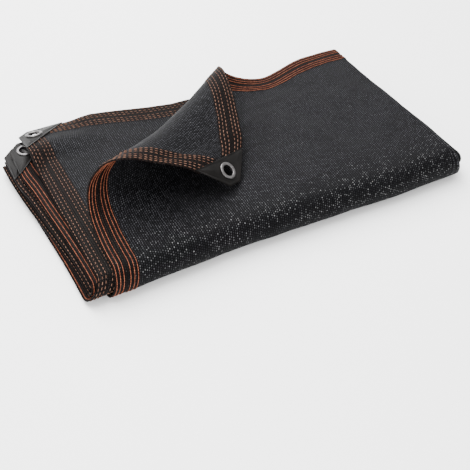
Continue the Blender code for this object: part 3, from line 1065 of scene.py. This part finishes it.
    @staticmethod
    def between(places: np.ndarray, distances: np.ndarray, others: np.ndarray, inset: float) -> tuple:
        """Follows one distance from an edge, between the grid lines on either side of it.

        Args:
            places: points and normals, one line of the grid for each row.
            distances: their distances from the edge that is followed.
            others: their distances from the edge across it.
            inset: the distance to follow.

        Returns:
            Points and normals along the row, and their distance from the edge across it, or 0
            where the row lies on a cut corner.
        """
        line, beside = [], []
        for place, distance, other in zip(places, distances, others):
            high = int(np.clip(np.searchsorted(distance, inset), 1, len(distance) - 1))
            low = high - 1
            share = (inset - distance[low]) / (distance[high] - distance[low])
            line.append(place[low] * (1.0 - share) + place[high] * share)
            on_sheet = 0.0 <= share <= 1.0
            beside.append(other[low] * (1.0 - share) + other[high] * share if on_sheet else 0.0)
        return np.array(line), np.array(beside)

    def build(self, face: Face, name: str, shift: np.ndarray, material: bpy.types.Material) -> bpy.types.Object:
        """Sews one side of the hems.

        Args:
            face: which side of the sheet.
            name: the piece's name.
            shift: moves the pad's own coordinates to the frame's.
            material: the thread's finish.

        Returns:
            The stitches as one plain mesh.
        """
        verts, edges, senses = [], [], []
        for run in self.runs(face):
            start = len(verts)
            placed = run.points + shift
            placed[:, 2] = np.maximum(placed[:, 2], self.thread[face] / 2)
            verts += placed.tolist()
            senses += run.normals.tolist()
            edges += [(start + k, start + k + 1) for k in range(len(run.points) - 1)]
        mesh = bpy.data.meshes.new(name + "_lines")
        mesh.from_pydata(verts, edges, [])
        attribute = mesh.attributes.new("sheet_normal", "FLOAT_VECTOR", "POINT")
        attribute.data.foreach_set("vector", np.array(senses).ravel())
        guide = bpy.data.objects.new(name + "_lines", mesh)
        bpy.context.collection.objects.link(guide)
        modifier = guide.modifiers.new("stitches", "NODES")
        modifier.node_group = self.tree(material)
        sizes = {
            "Pitch": self.pitch[face],
            "Stitch length": self.stitch[face],
            "Thread": self.thread[face],
            "Seed": 3 if face is Face.RIGHT else 5,
        }
        for item in modifier.node_group.interface.items_tree:
            if item.in_out == "INPUT" and item.name in sizes:
                modifier[item.identifier] = sizes[item.name]
        bpy.context.view_layer.update()
        evaluated = guide.evaluated_get(bpy.context.evaluated_depsgraph_get())
        plain = bpy.data.meshes.new_from_object(evaluated)
        plain.name = name
        piece = bpy.data.objects.new(name, plain)
        bpy.context.collection.objects.link(piece)
        bpy.data.objects.remove(guide)
        plain.shade_smooth()
        return piece


@dataclass
class CornerFitting:
    """A sewn corner patch and the eyelet through it."""

    name: str
    ply: Ply
    index: int
    fold: Fold
    cut: float = 0.015
    margin: float = 0.0003
    thick: float = 0.0012
    gap: float = 0.00035
    seat: float = 0.0003
    bore: float = 0.0073
    wall: float = 0.0006
    flange: float = 0.0115
    back_flange: float = 0.0095
    flange_thick: float = 0.0008
    edge: float = 0.0008
    crown: float = 0.0015
    rounding: float = 0.0016
    spacing: float = 0.0025
    steps: int = 72

    def axes(self) -> tuple:
        """Centre, steps from the two edges, and the normal of the patch's side."""
        centre, across, down = self.fold.frames[(self.ply, self.index)]
        normal = np.cross(down, across)
        return centre, across, down, normal if normal[2] > 0 else -normal

    def place(self, flat: tuple, height: float, shift: np.ndarray) -> list[float]:
        """Point of the frame for a place on the patch."""
        centre, across, down, normal = self.axes()
        return (centre + across * flat[0] + down * flat[1] + normal * height + shift).tolist()

    def ring(self, profile: list[tuple], name: str, shift: np.ndarray) -> bpy.types.Object:
        """Turns a closed profile round the eyelet's axis.

        Args:
            profile: radius and height of each point.
            name: the piece's name.
            shift: moves the pad's own coordinates to the frame's.

        Returns:
            The turned piece.
        """
        work = bmesh.new()
        rings = []
        for radius, height in profile:
            loop = []
            for step in range(self.steps):
                angle = 2 * math.pi * step / self.steps
                flat = (radius * math.cos(angle), radius * math.sin(angle))
                loop.append(work.verts.new(self.place(flat, height, shift)))
            rings.append(loop)
        for one, other in zip(rings, rings[1:] + rings[:1]):
            for step in range(self.steps):
                after = (step + 1) % self.steps
                work.faces.new((one[step], one[after], other[after], other[step]))
        return self.finish(work, name)

    @staticmethod
    def finish(work: bmesh.types.BMesh, name: str) -> bpy.types.Object:
        """Turns the work mesh into a smooth object with outward faces."""
        bmesh.ops.recalc_face_normals(work, faces=work.faces)
        mesh = bpy.data.meshes.new(name)
        work.to_mesh(mesh)
        work.free()
        mesh.shade_smooth()
        mesh.set_sharp_from_angle(angle=math.radians(50))
        piece = bpy.data.objects.new(name, mesh)
        bpy.context.collection.objects.link(piece)
        return piece

    def eyelet(self, shift: np.ndarray, material: bpy.types.Material) -> bpy.types.Object:
        """Builds the rolled metal ring.

        Args:
            shift: moves the pad's own coordinates to the frame's.
            material: the metal's finish.

        Returns:
            The eyelet.
        """
        top, base = self.levels()
        wall = self.bore + self.wall
        profile = [(wall, base), (wall, top), (self.flange - 0.0003, top)]
        middle = (self.flange + self.bore) / 2
        for step in range(13):
            angle = math.pi * step / 12
            radius = middle + (self.flange - self.bore) / 2 * math.cos(angle)
            profile.append((radius, top + 0.0002 + self.crown * math.sin(angle) ** 0.7))
        low = base - self.flange_thick
        profile += [(self.bore, top - 0.0008), (self.bore, low), (self.back_flange - 0.0003, low)]
        profile += [(self.back_flange, low + 0.0003), (self.back_flange, base)]
        piece = self.ring(profile, f"eyelet_ring_{self.name}", shift)
        piece.data.materials.append(material)
        return piece

    def levels(self) -> tuple:
        """Heights of the flange's seat on the patch and of the back flange's under the sheet."""
        low = self.fold.hem / 2 + self.gap
        return low + self.thick + self.seat, low - self.seat

    def outline(self) -> list[tuple]:
        """Outline of the patch about the eyelet's centre, with rounded corners."""
        inset = self.fold.eyelet_inset
        leg, margin = self.fold.patch_leg, self.margin
        corners = [(self.cut, margin), (leg, margin), (margin, leg), (margin, self.cut)]
        corners = [np.array(corner) - inset for corner in corners]
        loop = []
        for index, corner in enumerate(corners):
            before = corners[index - 1] - corner
            after = corners[(index + 1) % 4] - corner
            before /= np.linalg.norm(before)
            after /= np.linalg.norm(after)
            for share in np.linspace(0.0, 1.0, 5):
                rounded = before * (1 - share) ** 2 + after * share ** 2
                loop.append(tuple(corner + rounded * self.rounding))
        return loop

    def patch(self, shift: np.ndarray, material: bpy.types.Material) -> bpy.types.Object:
        """Builds the patch with its hole and softly rounded edges.

        Args:
            shift: moves the pad's own coordinates to the frame's.
            material: the patch's finish.

        Returns:
            The patch.
        """
        low = self.fold.hem / 2 + self.gap
        hole = self.bore + self.wall + 0.0002
        outline = self.resample(self.outline())
        work = bmesh.new()
        angles = [math.atan2(point[1], point[0]) for point in outline]
        levels = [(0.0, low + 0.0002), (0.0, low + self.thick - 0.0003), (0.0003, low + self.thick)]
        levels += [(0.0034, low + self.thick + 0.00002), (0.0040, low + self.thick - 0.00018)]
        levels += [(0.0046, low + self.thick + 0.00002)]
        rings = []
        for inset, height in levels:
            loop = [self.inwards(point, inset) for point in outline]
            rings.append([work.verts.new(self.place(point, height, shift)) for point in loop])
        for height in (low + self.thick, low):
            loop = [(hole * math.cos(angle), hole * math.sin(angle)) for angle in angles]
            rings.append([work.verts.new(self.place(point, height, shift)) for point in loop])
        loop = [self.inwards(point, 0.0003) for point in outline]
        rings.append([work.verts.new(self.place(point, low, shift)) for point in loop])
        count = len(outline)
        for one, other in zip(rings, rings[1:] + rings[:1]):
            for step in range(count):
                after = (step + 1) % count
                work.faces.new((one[step], one[after], other[after], other[step]))
        piece = self.finish(work, f"corner_patch_{self.name}")
        piece.data.materials.append(material)
        return piece

    @staticmethod
    def inwards(point: tuple, inset: float) -> tuple:
        """Point moved towards the eyelet's centre."""
        reach = math.hypot(*point)
        return point[0] * (1 - inset / reach), point[1] * (1 - inset / reach)

    def resample(self, loop: list[tuple]) -> list[tuple]:
        """Outline with points every few millimetres."""
        dense = []
        for one, other in zip(loop, loop[1:] + loop[:1]):
            length = math.dist(one, other)
            count = max(1, round(length / self.spacing))
            for step in range(count):
                share = step / count
                dense.append((one[0] + (other[0] - one[0]) * share, one[1] + (other[1] - one[1]) * share))
        return dense


@dataclass
class Studio:
    """Pale floor, soft lights and the camera, with its place and angles in the pad's coordinates."""

    focal_pixels: float = 842.4
    picture: float = 470.0
    sensor: float = 36.0
    pitch: float = math.radians(42.93)
    heading: float = math.radians(27.21)
    eye: tuple = (-0.1785, -0.6420, 0.7116)

    def floor(self) -> bpy.types.Object:
        """Builds the pale floor, a hair below the cloth."""
        work = bmesh.new()
        bmesh.ops.create_grid(work, x_segments=1, y_segments=1, size=4.0)
        mesh = bpy.data.meshes.new("floor")
        work.to_mesh(mesh)
        work.free()
        graph = Graph("pale_floor", Roughness=0.7)
        graph.shader.inputs["Base Color"].default_value = (0.93, 0.93, 0.93, 1.0)
        mesh.materials.append(graph.material)
        piece = bpy.data.objects.new("floor", mesh)
        bpy.context.collection.objects.link(piece)
        piece.location.z = -0.0004
        return piece

    def light(self, name: str, place: tuple, aim: tuple, size: float, power: float) -> None:
        """Adds a soft square light.

        Args:
            name: the light's name.
            place: where it hangs.
            aim: what it points at.
            size: its side.
            power: its power in watts.
        """
        lamp = bpy.data.lights.new(name, "AREA")
        lamp.shape = "SQUARE"
        lamp.size = size
        lamp.energy = power
        holder = bpy.data.objects.new(name, lamp)
        bpy.context.collection.objects.link(holder)
        holder.location = place
        holder.rotation_euler = (Vector(aim) - Vector(place)).to_track_quat("-Z", "Y").to_euler()

    def lights(self) -> None:
        """Lights the cloth from behind and above, with a weak fill from the front."""
        world = bpy.data.worlds.new("studio")
        world.use_nodes = True
        background = world.node_tree.nodes["Background"]
        background.inputs["Color"].default_value = (1.0, 1.0, 1.0, 1.0)
        background.inputs["Strength"].default_value = 1.9
        bpy.context.scene.world = world
        self.light("back", (-0.1, 1.3, 1.6), (0.0, 0.0, 0.03), 1.6, 105.0)
        self.light("top", (-0.2, 0.1, 1.8), (0.0, 0.0, 0.03), 1.2, 48.0)
        self.light("front", (-0.7, -1.1, 0.45), (-0.1, 0.0, 0.03), 0.9, 14.0)

    def camera(self, shift: np.ndarray) -> None:
        """Creates the camera at the photograph's viewing angle."""
        data = bpy.data.cameras.new("photo")
        data.sensor_width = self.sensor
        data.lens = self.focal_pixels / self.picture * self.sensor
        holder = bpy.data.objects.new("photo", data)
        bpy.context.collection.objects.link(holder)
        level = math.cos(self.pitch)
        ahead = Vector((math.sin(self.heading) * level, math.cos(self.heading) * level, -math.sin(self.pitch)))
        holder.location = Vector(self.eye) + Vector(shift.tolist())
        holder.rotation_euler = ahead.to_track_quat("-Z", "Y").to_euler()
        bpy.context.scene.camera = holder


def frame_shift(fold: Fold) -> np.ndarray:
    """How far the pad's own coordinates lie from the frame's, read at an eyelet's CAD box."""
    low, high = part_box("eyelet_second")
    fitting = CornerFitting("second", Ply.INNER, 0, fold)
    centre, across, down, normal = fitting.axes()
    top, base = fitting.levels()
    under, over = base - fitting.flange_thick, top + fitting.flange_thick
    rings = (
        (fitting.back_flange, under),
        (fitting.back_flange, base),
        (fitting.flange, top),
        (fitting.flange - fitting.edge, over),
    )
    ends = []
    for radius, height in rings:
        for step in range(28):
            angle = 2 * math.pi * step / 28
            outwards = across * radius * math.cos(angle) + down * radius * math.sin(angle)
            ends.append(centre + normal * height + outwards)
    ends = np.array(ends)
    middle = (ends.min(axis=0) + ends.max(axis=0)) / 2
    found = (np.array(low) + np.array(high)) / 2 - middle
    return np.array([found[0], found[1], 0.0])


def main() -> None:
    """Builds and dresses every piece in order."""
    logging.basicConfig(level=logging.INFO, format="%(name)s: %(message)s")
    fold = Fold()
    shift = frame_shift(fold)
    LOG.info("pad to frame shift %s", np.round(shift, 5).tolist())
    studio = Studio()
    studio.camera(shift)
    studio.lights()
    studio.floor()
    net = NetFinish().make()
    patch_finish = PatchFinish().make()
    metal = EyeletFinish().make()
    bright = ThreadFinish("orange_thread").make()
    dull = ThreadFinish(
        "orange_thread_wrong_side",
        colour=(0.165, 0.088, 0.060, 1.0),
        faded=(0.085, 0.040, 0.026, 1.0),
    ).make()
    cloth = ShadeCloth(fold)
    sheet = cloth.build(shift, net)
    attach(sheet, "root")
    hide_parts("cloth")
    LOG.info("%s: %d faces", sheet.name, len(sheet.data.polygons))
    sewing = HemStitching(cloth)
    for face, name, thread in (
        (Face.RIGHT, "stitches_right_side", bright),
        (Face.WRONG, "stitches_wrong_side", dull),
    ):
        stitches = sewing.build(face, name, shift, thread)
        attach(stitches, "root")
        LOG.info("%s: %d faces", stitches.name, len(stitches.data.polygons))
    for name, ply, index in (
        ("flap", Ply.OUTER, 0),
        ("second", Ply.INNER, 0),
        ("third", Ply.INNER, 3),
        ("fourth", Ply.OUTER, 3),
    ):
        fitting = CornerFitting(name, ply, index, fold)
        patch = fitting.patch(shift, patch_finish)
        eyelet = fitting.eyelet(shift, metal)
        for piece, node, slot in ((patch, f"patch_{name}", "patch"), (eyelet, f"eyelet_{name}", "steel")):
            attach(piece, "root")
            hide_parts(node)
            LOG.info("%s: %d faces", piece.name, len(piece.data.polygons))
    points = cloth.grid()[0]
    across, along = cloth.runs(points)
    LOG.info("flat size %.3f by %.3f m", across[-1], along[-1])


if __name__ == "__main__":
    main()
